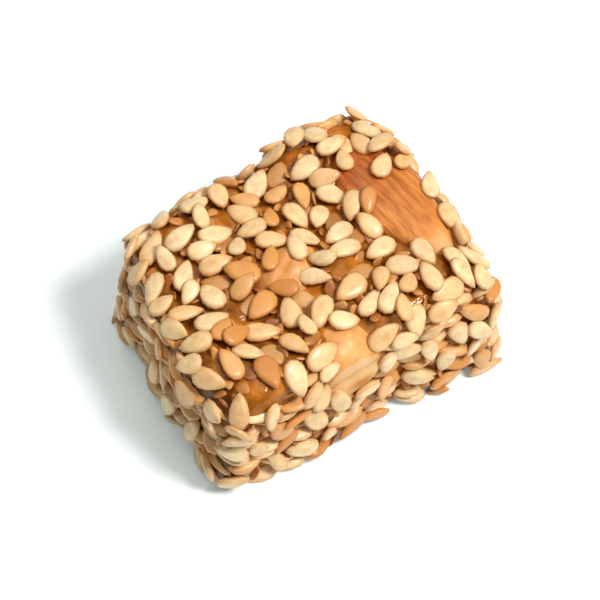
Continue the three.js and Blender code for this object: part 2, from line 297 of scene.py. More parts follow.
class Scatter:
    """Seeds that are thrown at the slab, layer by layer, and stay where they find room."""

    def __init__(self):
        self.draw = seeded_draws(SCATTER_SEED)
        self.balls = np.zeros((0, 3, 3))
        self.radii = np.zeros((0, 3))
        self.layers = []
        self.depth = np.zeros(0)

    def throw(self, layer, is_welcome, on_underside=False, over_nuts=False):
        """Adds one layer where it is welcome, and returns its seeds as (middle, axes, size)."""
        count = layer["darts"]
        draws = np.array([[next(self.draw) for _ in range(DRAWS_PER_DART)] for _ in range(count)])
        if on_underside:
            places, level, upward, normal = self.underside(draws)
            edge_share = np.zeros(count)
            on_wall = np.zeros(count, bool)
        else:
            box_points, face = draw_box_points(draws)
            places, level, upward, normal = surface_at(box_points, face == TOP_FACE)
            edge_share = layer.get("on_edge", 1) * np.choose(face, EDGE_SHARES)
            on_wall = face != TOP_FACE
        heading_draw, edge_draw, roll_draw, lean_draw = draws[:, 3:].T
        on_edge = edge_draw < edge_share
        smallest, largest = layer["size"]
        size = largest - (largest - smallest) * np.arange(count) / count
        level_heading = SIDE_HEADING * (2 * lean_draw - 1)
        turned_back = np.where(heading_draw < 0.5, math.pi, 0)
        heading = np.where(on_edge, level_heading + turned_back, heading_draw * 2 * math.pi)
        roll = layer["tilt"] * (2 * roll_draw - 1) + on_edge * EDGE_ROLL
        lean = layer["tilt"] * (2 * lean_draw - 1)
        along, across = turned(level, upward, heading)
        across, back = turned(across, normal, roll)
        along, back = turned(along, back, lean)
        stand = np.where(on_wall, min(layer["stand"], WALL_STAND), layer["stand"])
        middle = places + normal * (stand - on_edge * EDGE_SINK)[:, None]
        welcome = is_welcome(places)
        if over_nuts:
            middle, is_clear = lifted_off_nuts(middle, normal)
            welcome &= is_clear
        girth = SEED_WIDTH / 2 * size * np.where(on_edge, EDGE_GIRTH, 1)
        steps = np.arange(-1, 2)[None, :, None] * BALL_STEP * SEED_LENGTH * size[:, None, None]
        balls = middle[:, None] + steps * along[:, None]
        radii = girth[:, None] * BALL_SIZES
        number = len(self.layers)
        self.layers.append(layer)
        kept = []
        for dart in np.flatnonzero(welcome):
            share = np.where(self.depth == number, layer["keep"], layer["lap"])[:, None, None]
            gap = np.linalg.norm(self.balls[:, None] - balls[dart][None, :, None], axis=3)
            room = share * (self.radii[:, None] + radii[dart][None, :, None])
            if (gap > room).all():
                self.balls = np.concatenate([self.balls, balls[dart][None]])
                self.radii = np.concatenate([self.radii, radii[dart][None]])
                self.depth = np.append(self.depth, number)
                kept.append((middle[dart], (along[dart], across[dart], back[dart]), size[dart]))
        return kept

    def underside(self, draws):
        """Places on the board, inside the slab's foot, where the seeds' backs face down."""
        count = len(draws)
        box_points = np.stack(
            [
                (2 * draws[:, 1] - 1) * (BODY_HALF[0] - BASE_INSET),
                (2 * draws[:, 2] - 1) * (BODY_HALF[1] - BASE_INSET),
                np.full(count, -BODY_HALF[2]),
            ],
            axis=1,
        )
        places = slab_points(box_points)
        places[:, 2] = 0
        axes = np.array([[1.0, 0, 0], [0, -1.0, 0], [0, 0, -1.0]])
        return places, *(np.tile(axis, (count, 1)) for axis in axes)


def takes_seed(places, nut_clear=NUT_CLEAR, bare=BARE_PATCHES):
    """True where seeds stick: clear of the board, of the nuts and of what is bare."""
    clear = places[:, 2] >= BASE_CLEAR
    for nut in NUTS.values():
        clear &= ~inside_nut(nut, places, nut_clear)
    for at, reach in bare:
        clear &= np.linalg.norm(places - at, axis=1) > reach
    return clear


def takes_late_seed(places, nut_clear=NUT_CLEAR):
    """The same for seeds that come after the first, which don't stick at the rim pools either."""
    return takes_seed(places, nut_clear, BARE_PATCHES + RIM_POOLS)


def takes_border_seed(places):
    """Along the rims of the nuts, where seeds lap over them."""
    near = np.zeros(len(places), bool)
    for nut in NUTS.values():
        near |= inside_nut(nut, places, NUT_BORDER[1])
    return near & takes_late_seed(places, NUT_BORDER[0])


scatter = Scatter()
standing_seeds = []
for layer in STANDING_LAYERS:
    standing_seeds += scatter.throw(layer, takes_seed)
border_seeds = scatter.throw(NUT_BORDER_LAYER, takes_border_seed, over_nuts=True)
strewn_seeds = scatter.throw(STREWN_LAYER, takes_late_seed)
sunk_seeds = scatter.throw(SUNK_LAYER, lambda places: takes_late_seed(places, SUNK_NUT_CLEAR))
underside_seeds = scatter.throw(UNDERSIDE_LAYER, lambda places: places[:, 2] == 0, on_underside=True)
crumbs = scatter.throw(CRUMB_LAYER, takes_seed)

# One seed shape lies along X with its point towards +X, in half lengths. Its rings run from the top of
# its back, over the rim, to the middle of its belly: how far out, and how high.
SEED_SIDES = 12
SEED_RINGS = [(0.62, 0.86), (0.9, 0.56), (1.0, 0.0), (0.66, -0.72)]
SEED_SHAPES = [  # how much it narrows, its width, how far it bends, and how deep its back is hollowed
    {"taper": 0.28, "width": 1.0, "bend": 0.0, "hollow": 0.06},
    {"taper": 0.34, "width": 0.88, "bend": 0.07, "hollow": 0.18},
    {"taper": 0.2, "width": 1.05, "bend": 0.0, "hollow": 0.26},
    {"taper": 0.26, "width": 0.95, "bend": -0.1, "hollow": 0.06},
    {"taper": 0.34, "width": 1.0, "bend": 0.04, "hollow": 0.38},
]
SEED_POINT = 0.09  # the point reaches this much further than an oval would
SEED_POINT_SHARPNESS = 8


def ring_faces(rings, sides):
    """The faces of a closed form: equal rings of points between a first point and a last one."""
    faces = []
    for side in range(sides):
        after = (side + 1) % sides
        faces.append((0, 1 + side, 1 + after))
        for start in range(1, 1 + (rings - 1) * sides, sides):
            below = start + sides
            faces.append((start + side, below + side, below + after, start + after))
        faces.append((1 + rings * sides, below + after, below + side))
    return faces


def seed_shape(name, taper, width, bend, hollow):
    """A mesh of a few dozen faces, with each vertex's place in the seed kept as seed_place."""
    rows = [[(0.0, 0.0, 1.0 - hollow)]]
    for out, high in SEED_RINGS:
        row = []
        for side in range(SEED_SIDES):
            angle = 2 * math.pi * side / SEED_SIDES
            x = out * (math.cos(angle) + SEED_POINT * max(0, math.cos(angle)) ** SEED_POINT_SHARPNESS)
            y = out * math.sin(angle) * (1 - taper * math.cos(angle)) * width
            row.append((x, y + bend * (1 - x * x), high))
        rows.append(row)
    rows.append([(0.0, 0.0, -1.0)])
    points = [point for row in rows for point in row]
    mesh = bpy.data.meshes.new(name)
    mesh.from_pydata(points, [], ring_faces(len(SEED_RINGS), SEED_SIDES))
    mesh.attributes.new("seed_place", "FLOAT_VECTOR", "POINT").data.foreach_set(
        "vector", np.array(points).ravel()
    )
    return mesh


def linear(code):
    """An sRGB hex colour as the linear RGBA that shader sockets take."""
    values = [int(code[i : i + 2], 16) / 255 for i in (1, 3, 5)]
    return [v / 12.92 if v <= 0.04045 else ((v + 0.055) / 1.055) ** 2.4 for v in values] + [1.0]


def feed(tree, node, inputs):
    """Sets each input that is given as a value, and links each one that is given as a socket, or as
    a node, whose first output it takes."""
    for name, value in inputs.items():
        if isinstance(value, bpy.types.Node):
            value = value.outputs[0]
        if isinstance(value, bpy.types.NodeSocket):
            tree.links.new(value, node.inputs[name])
        else:
            node.inputs[name].default_value = value


def add_node(tree, kind, inputs=None, **settings):
    """Adds a node with its settings, and feeds it."""
    node = tree.nodes.new(kind)
    for name, value in settings.items():
        setattr(node, name, value)
    feed(tree, node, inputs or {})
    return node


def new_tree(name, sockets):
    """A geometry tree with its named inputs, and the sockets that give them."""
    tree = bpy.data.node_groups.new(name, "GeometryNodeTree")
    for label, kind in sockets.items():
        tree.interface.new_socket(label, in_out="INPUT", socket_type="NodeSocket" + kind)
    tree.interface.new_socket("Result", in_out="OUTPUT", socket_type="NodeSocketGeometry")
    return tree, add_node(tree, "NodeGroupInput").outputs


def pressed_flat(tree, geometry, lowest):
    """The board presses up to one height all that reaches lower."""
    where = add_node(tree, "GeometryNodeInputPosition")
    parts = add_node(tree, "ShaderNodeSeparateXYZ", {0: where})
    above = add_node(tree, "ShaderNodeMath", {0: parts.outputs["Z"], 1: lowest}, operation="MAXIMUM")
    on_board = add_node(
        tree, "ShaderNodeCombineXYZ", {"X": parts.outputs["X"], "Y": parts.outputs["Y"], "Z": above}
    )
    return add_node(tree, "GeometryNodeSetPosition", {"Geometry": geometry, "Position": on_board})


def close_tree(tree, geometry, finish):
    """The end of a tree: shaded smooth, made a plain mesh, and given its finish."""
    smooth = add_node(tree, "GeometryNodeSetShadeSmooth", {"Geometry": geometry, "Shade Smooth": True})
    real = add_node(tree, "GeometryNodeRealizeInstances", {"Geometry": smooth})
    finished = add_node(tree, "GeometryNodeSetMaterial", {"Geometry": real, "Material": finish})
    add_node(tree, "NodeGroupOutput", {"Result": finished})


def grow(name, mesh, tree, values):
    """Puts a mesh through a geometry tree, and returns the plain result as a new object."""
    piece = bpy.data.objects.new(name, mesh)
    bpy.context.scene.collection.objects.link(piece)
    modifier = piece.modifiers.new(tree.name, "NODES")
    modifier.node_group = tree
    for item in tree.interface.items_tree:
        if item.in_out == "INPUT" and item.name in values:
            modifier[item.identifier] = values[item.name]
    graph = bpy.context.evaluated_depsgraph_get()
    result = bpy.data.meshes.new_from_object(
        piece.evaluated_get(graph), preserve_all_data_layers=True, depsgraph=graph
    )
    piece.modifiers.clear()
    piece.data = result
    result.name = name
    return piece


seed_tree, given = new_tree(
    "seeds pressed in",
    {
        "Places": "Geometry",
        "Seed Shapes": "Collection",
        "Seed Length": "Float",
        "Seed Width": "Float",
        "Seed Thickness": "Float",
        "Unevenness": "Float",
        "Random Seed": "Int",
        "Finish": "Material",
    },
)
shapes = add_node(
    seed_tree,
    "GeometryNodeCollectionInfo",
    {"Collection": given["Seed Shapes"], "Separate Children": True, "Reset Children": True},
)
turn = add_node(seed_tree, "GeometryNodeInputNamedAttribute", {"Name": "turn"}, data_type="QUATERNION")
size = add_node(seed_tree, "GeometryNodeInputNamedAttribute", {"Name": "size"}, data_type="FLOAT")
shape_pick = add_node(
    seed_tree,
    "FunctionNodeRandomValue",
    {"Min": 0, "Max": len(SEED_SHAPES) - 1, "Seed": given["Random Seed"]},
    data_type="INT",
)
least, most = (
    add_node(seed_tree, "ShaderNodeMath", {0: 1.0, 1: given["Unevenness"]}, operation=operation)
    for operation in ("SUBTRACT", "ADD")
)
uneven = add_node(
    seed_tree,
    "FunctionNodeRandomValue",
    {"Min": least, "Max": most, "Seed": given["Random Seed"]},
    data_type="FLOAT_VECTOR",
)
half_sizes = add_node(
    seed_tree,
    "ShaderNodeCombineXYZ",
    {"X": given["Seed Length"], "Y": given["Seed Width"], "Z": given["Seed Thickness"]},
)
sized = add_node(seed_tree, "ShaderNodeVectorMath", {0: half_sizes, "Scale": size}, operation="SCALE")
scale = add_node(seed_tree, "ShaderNodeVectorMath", {0: sized, 1: uneven}, operation="MULTIPLY")
as_points = add_node(seed_tree, "GeometryNodeMeshToPoints", {"Mesh": given["Places"]})
placed = add_node(
    seed_tree,
    "GeometryNodeInstanceOnPoints",
    {
        "Points": as_points,
        "Instance": shapes,
        "Pick Instance": True,
        "Instance Index": shape_pick.outputs[2],
        "Rotation": turn,
        "Scale": scale,
    },
)
roast = add_node(
    seed_tree,
    "FunctionNodeRandomValue",
    {"Min": 0.0, "Max": 1.0, "Seed": given["Random Seed"]},
    data_type="FLOAT",
)
toned = add_node(
    seed_tree,
    "GeometryNodeStoreNamedAttribute",
    {"Geometry": placed, "Name": "roast", "Value": roast.outputs[1]},
    data_type="FLOAT",
    domain="INSTANCE",
)
real = add_node(seed_tree, "GeometryNodeRealizeInstances", {"Geometry": toned})
close_tree(seed_tree, pressed_flat(seed_tree, real, 0.0), given["Finish"])

seed_shapes = bpy.data.collections.new("seed shapes")
for number, shape in enumerate(SEED_SHAPES):
    mesh = seed_shape(f"seed_shape_{number}", **shape)
    seed_shapes.objects.link(bpy.data.objects.new(mesh.name, mesh))


def new_material(name):
    """A material with only its Principled BSDF, and the tree to add to."""
    material = bpy.data.materials.new(name)
    material.use_nodes = True
    return material, material.node_tree, material.node_tree.nodes["Principled BSDF"]


# How far from its middle a seed browns at its point and darkens at its rim, in half lengths, which part
# of the noise gives its blotches, and how deep each is. The rim's darkening is partly toasting and
# caramel stain, partly painted shade at the seed's edge.
POINT_BROWNING = {"From Min": 0.35, "From Max": 1.05, "To Max": 0.6}
# the rim's darkening: partly toasting and caramel stain, partly painted shade at the seed's edge
RIM_TOAST_AND_SHADE = {"From Min": 0.62, "From Max": 1.0, "To Max": 0.5}
BLOTCH_BROWNING = {"From Min": 0.42, "From Max": 0.72, "To Max": 0.45}
BLOTCH_SIZE = 1.1  # mm
HULL_GRAIN = 0.2  # mm, coarser than real, so that it shows
HULL_RELIEF = 0.06  # mm
RIM_HEIGHT = 1.5  # how far the rim is raised, against 1 for the grain


def syruped(name, stops, coat):
    """Hulled sesame or chopped nut, toasted dry and coated with a thin film of syrup. It gives a
    slightly see-through body, browned at its point and in blotches, darker at its rim, partly from
    toasting and caramel stain and partly as painted shade at the edge, and a soft shine."""
    material, tree, skin = new_material(name)
    roasted = add_node(tree, "ShaderNodeAttribute", attribute_name="roast").outputs["Fac"]
    ramp = add_node(tree, "ShaderNodeValToRGB", {"Fac": roasted})
    for _ in range(len(stops) - 2):
        ramp.color_ramp.elements.new(0.5)
    for element, (position, colour) in zip(ramp.color_ramp.elements, stops):
        element.position = position
        element.color = linear(colour)
    place = add_node(tree, "ShaderNodeAttribute", attribute_name="seed_place").outputs["Vector"]
    along = add_node(tree, "ShaderNodeSeparateXYZ", {0: place})
    at_point = add_node(
        tree,
        "ShaderNodeMapRange",
        {"Value": along.outputs["X"], **POINT_BROWNING},
        interpolation_type="SMOOTHSTEP",
    )
    flat_place = add_node(
        tree, "ShaderNodeCombineXYZ", {"X": along.outputs["X"], "Y": along.outputs["Y"]}
    )
    from_middle = add_node(tree, "ShaderNodeVectorMath", {0: flat_place}, operation="LENGTH")
    # The rim mask darkens the colour partly for toasting and caramel stain, partly as painted shade at
    # the seed's edge; it also raises the rim in the bump.
    at_rim = add_node(
        tree,
        "ShaderNodeMapRange",
        {"Value": from_middle.outputs["Value"], **RIM_TOAST_AND_SHADE},
        interpolation_type="SMOOTHSTEP",
    )
    spot = add_node(tree, "ShaderNodeTexCoord").outputs["Object"]
    blotch = add_node(
        tree,
        "ShaderNodeTexNoise",
        {"Vector": spot, "Scale": 1 / (BLOTCH_SIZE * MM), "Detail": 3.0, "Roughness": 0.6},
    )
    blotched = add_node(tree, "ShaderNodeMapRange", {"Value": blotch, **BLOTCH_BROWNING})
    browning_and_rim_shade = at_point
    for other in (at_rim, blotched):
        browning_and_rim_shade = add_node(tree, "ShaderNodeMath", {0: browning_and_rim_shade, 1: other}, operation="MAXIMUM")
    # Mixes in the browning colour at the point, in blotches, and at the rim, where it is partly painted
    # shade.
    toned_with_rim_shade = add_node(
        tree, "ShaderNodeMix", {"Factor": browning_and_rim_shade, "A": ramp, "B": linear("#c08040")}, data_type="RGBA"
    )
    grain = add_node(
        tree, "ShaderNodeTexNoise", {"Vector": spot, "Scale": 1 / (HULL_GRAIN * MM), "Detail": 3.0}
    )
    raised_rim = add_node(
        tree, "ShaderNodeMath", {0: at_rim, 1: RIM_HEIGHT, 2: grain}, operation="MULTIPLY_ADD"
    )
    relief = add_node(
        tree, "ShaderNodeBump", {"Height": raised_rim, "Strength": 0.55, "Distance": HULL_RELIEF * MM}
    )
    feed(
        tree,
        skin,
        {
            "Base Color": toned_with_rim_shade.outputs["Result"],
            "Normal": relief,
            "Roughness": 0.48,
            "Specular IOR Level": 0.4,
            "IOR": 1.47,
            "Subsurface Weight": 0.3,
            "Subsurface Radius": (1.0, 0.62, 0.3),
            "Subsurface Scale": 0.5 * MM,
            "Coat Weight": coat,
            "Coat Roughness": 0.17,
        },
    )
    return material


toasted_sesame = syruped(
    "toasted hulled sesame",
    [(0.0, "#f5dbac"), (0.45, "#f3d29e"), (0.72, "#efc38b"), (0.88, "#e0a058"), (1.0, "#ca843e")],
    coat=0.32,
)
stained_sesame = syruped(
    "sesame under caramel",
    [(0.0, "#d9ad72"), (0.4, "#c48d50"), (0.75, "#a2642c"), (1.0, "#7c4416")],
    coat=0.4,
)
chopped_nut = syruped(
    "chopped nut crumbs",
    [(0.0, "#e2aa68"), (0.45, "#c98745"), (0.75, "#a8642c"), (1.0, "#824418")],
    coat=0.3,
)

SEED_UNEVENNESS = 0.07  # how far a seed's length, width and thickness differ from the plain shape's


def lay_seeds(name, seeds, finish, random_seed):
    """One piece for all seeds of a list: their middles, turns and sizes go through the seed tree."""
    mesh = bpy.data.meshes.new(name + " places")
    mesh.from_pydata([Vector(middle) * MM for middle, _, _ in seeds], [], [])
    turns = [Matrix(axes).transposed().to_quaternion() for _, axes, _ in seeds]
    mesh.attributes.new("turn", "QUATERNION", "POINT").data.foreach_set("value", np.ravel(turns))
    mesh.attributes.new("size", "FLOAT", "POINT").data.foreach_set("value", [s for _, _, s in seeds])
    piece = grow(
        name,
        mesh,
        seed_tree,
        {
            "Seed Shapes": seed_shapes,
            "Seed Length": SEED_LENGTH / 2 * MM,
            "Seed Width": SEED_WIDTH / 2 * MM,
            "Seed Thickness": SEED_THICKNESS / 2 * MM,
            "Unevenness": SEED_UNEVENNESS,
            "Random Seed": random_seed,
            "Finish": finish,
        },
    )
    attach(piece, "root")
    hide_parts("brittle_slab")
    return piece


upper_seeds = standing_seeds + border_seeds + strewn_seeds
held_pieces = [
    lay_seeds("sesame_seeds", upper_seeds, toasted_sesame, random_seed=7),
    lay_seeds("sesame_seeds_sunk", sunk_seeds, stained_sesame, random_seed=12),
    lay_seeds("sesame_seeds_underside", underside_seeds, toasted_sesame, random_seed=23),
    lay_seeds("nut_crumbs", crumbs, chopped_nut, random_seed=31),
]
for shape in list(seed_shapes.objects):
    bpy.data.objects.remove(shape)
bpy.data.collections.remove(seed_shapes)

# ---------------------------------------------------------------- almond and peanut pieces
# Almonds toasted in their skins, and peanuts roasted and split, all roughly chopped. The almond shows
# its wrinkled brown skin along the right edge, and the peanuts show a smooth back or a knife cut.

ALMOND_POINT = 0.12  # in half lengths, by which its narrow end is drawn out
PEANUT_CREASE = 0.1  # in half thicknesses, along the middle of a peanut half
CREASE_WIDTH = 0.16  # in half widths
NUT_COLUMNS = 96
NUT_RINGS = 56
DENTS_PER_MM = 0.42
CUT_RELIEF = 0.25  # the share of wrinkles and dents that shows on a cut face


def nut_mesh(name, kind, nut):
    """A rounded body that narrows towards its +X end, cut flat where the knife went through. Each
    vertex keeps its place in the nut as nut_place, and whether it was cut as cut_face."""
    half = np.array(nut["half"])
    rows, columns = np.mgrid[0 : NUT_RINGS + 1, 0:NUT_COLUMNS]
    polar = math.pi * rows / NUT_RINGS
    round_it = 2 * math.pi * columns / NUT_COLUMNS
    x, y, z = np.cos(polar), np.sin(polar) * np.cos(round_it), np.sin(polar) * np.sin(round_it)
    z = np.sign(z) * np.abs(z) ** nut["fullness"]
    cut = (z > nut["left"]).astype(float)
    z = np.minimum(z, nut["left"])
    tip = ALMOND_POINT * np.maximum(0, x) ** 3 * (kind == "almond")
    crease = PEANUT_CREASE * np.exp(-((y / CREASE_WIDTH) ** 2)) * np.maximum(z, 0) * (kind == "peanut")
    own = np.stack([x + tip, y * (1 - nut["taper"] * x), z - crease], axis=-1) * half
    end = rows.size - 1
    once = [0, *range(NUT_COLUMNS, end + 1 - NUT_COLUMNS), end]  # one point for each pole
    own = own.reshape(-1, 3)[once]
    faces = [(face[0], *face[:0:-1]) for face in ring_faces(NUT_RINGS - 1, NUT_COLUMNS)]
    mesh = bpy.data.meshes.new(name)
    mesh.from_pydata((own @ nut_turn(nut).T + nut["at"]) * MM, [], faces)
    mesh.attributes.new("nut_place", "FLOAT_VECTOR", "POINT").data.foreach_set("vector", own.ravel())
    mesh.attributes.new("cut_face", "FLOAT", "POINT").data.foreach_set("value", cut.ravel()[once])
    return mesh


def raised_by(tree, geometry, height):
    """Moves a surface outwards by a height."""
    normal = add_node(tree, "GeometryNodeInputNormal")
    offset = add_node(tree, "ShaderNodeVectorMath", {0: normal, "Scale": height}, operation="SCALE")
    return add_node(tree, "GeometryNodeSetPosition", {"Geometry": geometry, "Offset": offset})


nut_tree, given = new_tree(
    "skin drawn over a nut",
    {
        "Nut": "Geometry",
        "Wrinkle Height": "Float",
        "Wrinkles Per Mm": "Vector",
        "Dent Depth": "Float",
        "Finish": "Material",
    },
)
own_place = add_node(
    nut_tree, "GeometryNodeInputNamedAttribute", {"Name": "nut_place"}, data_type="FLOAT_VECTOR"
)
is_cut = add_node(nut_tree, "GeometryNodeInputNamedAttribute", {"Name": "cut_face"}, data_type="FLOAT")
stretched = add_node(
    nut_tree, "ShaderNodeVectorMath", {0: own_place, 1: given["Wrinkles Per Mm"]}, operation="MULTIPLY"
)
wrinkles = add_node(nut_tree, "ShaderNodeTexNoise", {"Vector": stretched, "Scale": 1.0, "Detail": 3.0})
dents = add_node(nut_tree, "ShaderNodeTexVoronoi", {"Vector": own_place, "Scale": DENTS_PER_MM})
centred = [
    add_node(nut_tree, "ShaderNodeMath", {0: noise, 1: 0.5}, operation="SUBTRACT")
    for noise in (wrinkles, dents)
]
wrinkled = add_node(
    nut_tree, "ShaderNodeMath", {0: centred[0], 1: given["Wrinkle Height"]}, operation="MULTIPLY"
)
raised = add_node(
    nut_tree,
    "ShaderNodeMath",
    {0: centred[1], 1: given["Dent Depth"], 2: wrinkled},
    operation="MULTIPLY_ADD",
)
uncut = add_node(nut_tree, "ShaderNodeMapRange", {"Value": is_cut, "To Min": 1.0, "To Max": CUT_RELIEF})
height = add_node(nut_tree, "ShaderNodeMath", {0: raised, 1: uncut}, operation="MULTIPLY")
close_tree(nut_tree, raised_by(nut_tree, given["Nut"], height), given["Finish"])


CLOUDS_PER_MM = 0.35
STREAK_CLOUDS = 0.4  # the share of these broad clouds in the skin's streaks
NUT_TONES = {"From Min": 0.36, "From Max": 0.64}  # the part of a pattern between its dark and light
SKIN_FADE = 0.018  # how much paler the skin grows per mm towards the narrow end
WEAR_EDGE = 3.5  # mm that the edge of the worn skin runs in and out
WEAR_FADE = 1.2  # mm over which the skin thins out there
STREAK_RELIEF = 0.25  # mm


def nut_finish(name, skin_colours, flesh_colours, streaks_per_mm, worn_end, roughness):
    """A nut's skin over its paler flesh. The skin is streaked along the nut, and worn off at one end
    and where the knife cut."""
    material, tree, surface = new_material(name)
    place = add_node(tree, "ShaderNodeAttribute", attribute_name="nut_place").outputs["Vector"]
    cut = add_node(tree, "ShaderNodeAttribute", attribute_name="cut_face").outputs["Fac"]
    stretched = add_node(
        tree, "ShaderNodeVectorMath", {0: place, 1: streaks_per_mm}, operation="MULTIPLY"
    )
    streaks = add_node(tree, "ShaderNodeTexNoise", {"Vector": stretched, "Scale": 1.0, "Detail": 4.0})
    clouds = add_node(
        tree, "ShaderNodeTexNoise", {"Vector": place, "Scale": CLOUDS_PER_MM, "Detail": 2.0}
    )
    lengthwise = add_node(tree, "ShaderNodeSeparateXYZ", {0: place})
    mottled = add_node(
        tree, "ShaderNodeMix", {"Factor": STREAK_CLOUDS, "A": streaks, "B": clouds}, data_type="FLOAT"
    )
    darker_behind = add_node(
        tree,
        "ShaderNodeMath",
        {0: lengthwise.outputs["X"], 1: SKIN_FADE, 2: mottled},
        operation="MULTIPLY_ADD",
    )
    colours = []
    for tone, (dark, light) in ((darker_behind, skin_colours), (clouds, flesh_colours)):
        spread = add_node(tree, "ShaderNodeMapRange", {"Value": tone, **NUT_TONES})
        colours.append(
            add_node(
                tree,
                "ShaderNodeMix",
                {"Factor": spread, "A": linear(dark), "B": linear(light)},
                data_type="RGBA",
            )
        )
    ragged = add_node(
        tree,
        "ShaderNodeMath",
        {0: clouds, 1: WEAR_EDGE, 2: lengthwise.outputs["X"]},
        operation="MULTIPLY_ADD",
    )
    worn = add_node(
        tree,
        "ShaderNodeMapRange",
        {"Value": ragged, "From Min": worn_end, "From Max": worn_end + WEAR_FADE},
        interpolation_type="SMOOTHSTEP",
    )
    bare = add_node(tree, "ShaderNodeMath", {0: worn, 1: cut}, operation="MAXIMUM")
    body = add_node(
        tree,
        "ShaderNodeMix",
        {"Factor": bare, "A": colours[0].outputs["Result"], "B": colours[1].outputs["Result"]},
        data_type="RGBA",
    )
    relief = add_node(
        tree, "ShaderNodeBump", {"Height": streaks, "Strength": 0.8, "Distance": STREAK_RELIEF * MM}
    )
    feed(
        tree,
        surface,
        {
            "Base Color": body.outputs["Result"],
            "Normal": relief,
            "Roughness": roughness,
            "IOR": 1.47,
            "Subsurface Weight": 0.15,
            "Subsurface Radius": (1.0, 0.5, 0.22),
            "Subsurface Scale": 0.6 * MM,
            "Coat Weight": 0.2,
            "Coat Roughness": 0.3,
        },
    )
    return material


NUT_KINDS = {
    "almond": {
        "finish": nut_finish(
            "toasted almond in its skin",
            skin_colours=("#a85418", "#dc8c40"),
            flesh_colours=("#cf8e4c", "#e2aa6a"),
            streaks_per_mm=(0.4, 2.6, 2.6),
            worn_end=7.4,
            roughness=0.48,
        ),
        "wrinkle_height": 0.2,
        "wrinkles_per_mm": (0.25, 1.3, 1.3),
        "dent_depth": 0.12,
    },
    "peanut": {
        "finish": nut_finish(
            "dry roast peanut",
            skin_colours=("#c9843f", "#ecb068"),
            flesh_colours=("#dca562", "#f0c386"),
            streaks_per_mm=(0.5, 0.9, 0.9),
            worn_end=6.0,
            roughness=0.5,
        ),
        "wrinkle_height": 0.07,
        "wrinkles_per_mm": (0.7, 1.1, 1.1),
        "dent_depth": 0.45,
    },
}
for node, nut in NUTS.items():
    kind = node.split("_")[0]
    look = NUT_KINDS[kind]
    piece = grow(
        node.replace("_piece", "_chunk").replace("_sliver", "_strip"),
        nut_mesh(node + " form", kind, nut),
        nut_tree,
        {
            "Wrinkle Height": look["wrinkle_height"] * MM,
            "Wrinkles Per Mm": look["wrinkles_per_mm"],
            "Dent Depth": look["dent_depth"] * MM,
            "Finish": look["finish"],
        },
    )
    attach(piece, "root")
    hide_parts(node)
    held_pieces.append(piece)

# ---------------------------------------------------------------- caramel
# Sugar and honey boiled to a dark, hard caramel. It fills the slab and holds every seed and nut: it
# draws back between them as it cools, climbs their sides a little, and pools smooth in a few places.

CARAMEL_STEP = 0.25  # mm between the points of its mesh
CARAMEL_DRAW_BACK = 0.55  # mm that it lies below the slab's form between the seeds
POOL_RISE = 0.55  # mm that it stands higher in the middle of a bare patch
END_FILL = 0.45  # the share of that rise on the two ends, where the knife smeared it into the gaps
CLIMB_HEIGHT = 0.2  # mm that it climbs against a seed or a nut
CLIMB_REACH = 0.16  # mm from it, over which the climb falls to about a third
RIPPLE_HEIGHT = 0.25  # mm
RIPPLE_SPACING = 1.6  # mm
BOARD_GAP = 0.14  # mm from the board to the caramel between the seeds of the underside


def spread_steps(half, steps):
    """Even steps over the flat stretch, and as fine ones round the edge."""
    flat = half - EDGE_RADIUS
    edge_steps = round(EDGE_RADIUS * math.pi / 4 / CARAMEL_STEP)
    edge = EDGE_RADIUS * np.tan(np.linspace(0, math.pi / 4, edge_steps + 1)[1:])
    middle = np.linspace(-flat, flat, steps + 1)
    return np.concatenate([-(flat + edge)[::-1], middle, flat + edge])


def caramel_mesh(name):
    """The six faces of the plain box as grids, merged along the edges and taken to the slab's form.
    Each vertex keeps how far it lies in a pool, and how far round it is to one of the ends."""
    lines = [spread_steps(half, round(2 * (half - EDGE_RADIUS) / CARAMEL_STEP)) for half in BODY_HALF]
    counts = [len(line) for line in lines]
    index = {}
    points = []
    faces = []

    def vertex(key):
        if key not in index:
            index[key] = len(points)
            points.append([lines[axis][key[axis]] for axis in range(3)])
        return index[key]

    for axis in range(3):
        first, second = (axis + 1) % 3, (axis + 2) % 3
        for side, fixed in ((-1, 0), (1, counts[axis] - 1)):
            for i in range(counts[first] - 1):
                for j in range(counts[second] - 1):
                    keys = []
                    for di, dj in ((0, 0), (1, 0), (1, 1), (0, 1)):
                        key = [0, 0, 0]
                        key[axis], key[first], key[second] = fixed, i + di, j + dj
                        keys.append(vertex(tuple(key)))
                    faces.append(keys if side > 0 else keys[::-1])
    places = slab_points(np.array(points))
    pool = sum(
        np.exp(-((np.linalg.norm(places - at, axis=1) / reach) ** 2))
        for at, reach in BARE_PATCHES + RIM_POOLS
    )
    at_end = np.clip((np.abs(np.array(points)[:, 0]) - FLAT_HALF[0]) / EDGE_RADIUS, 0, 1)
    pool = np.maximum(pool, END_FILL * at_end)
    mesh = bpy.data.meshes.new(name)
    mesh.from_pydata(places * MM, [], faces)
    mesh.attributes.new("pool", "FLOAT", "POINT").data.foreach_set("value", np.minimum(pool, 1))
    # cut_end sets where the caramel's finish paints shade on the ends
    mesh.attributes.new("cut_end", "FLOAT", "POINT").data.foreach_set("value", at_end)
    return mesh


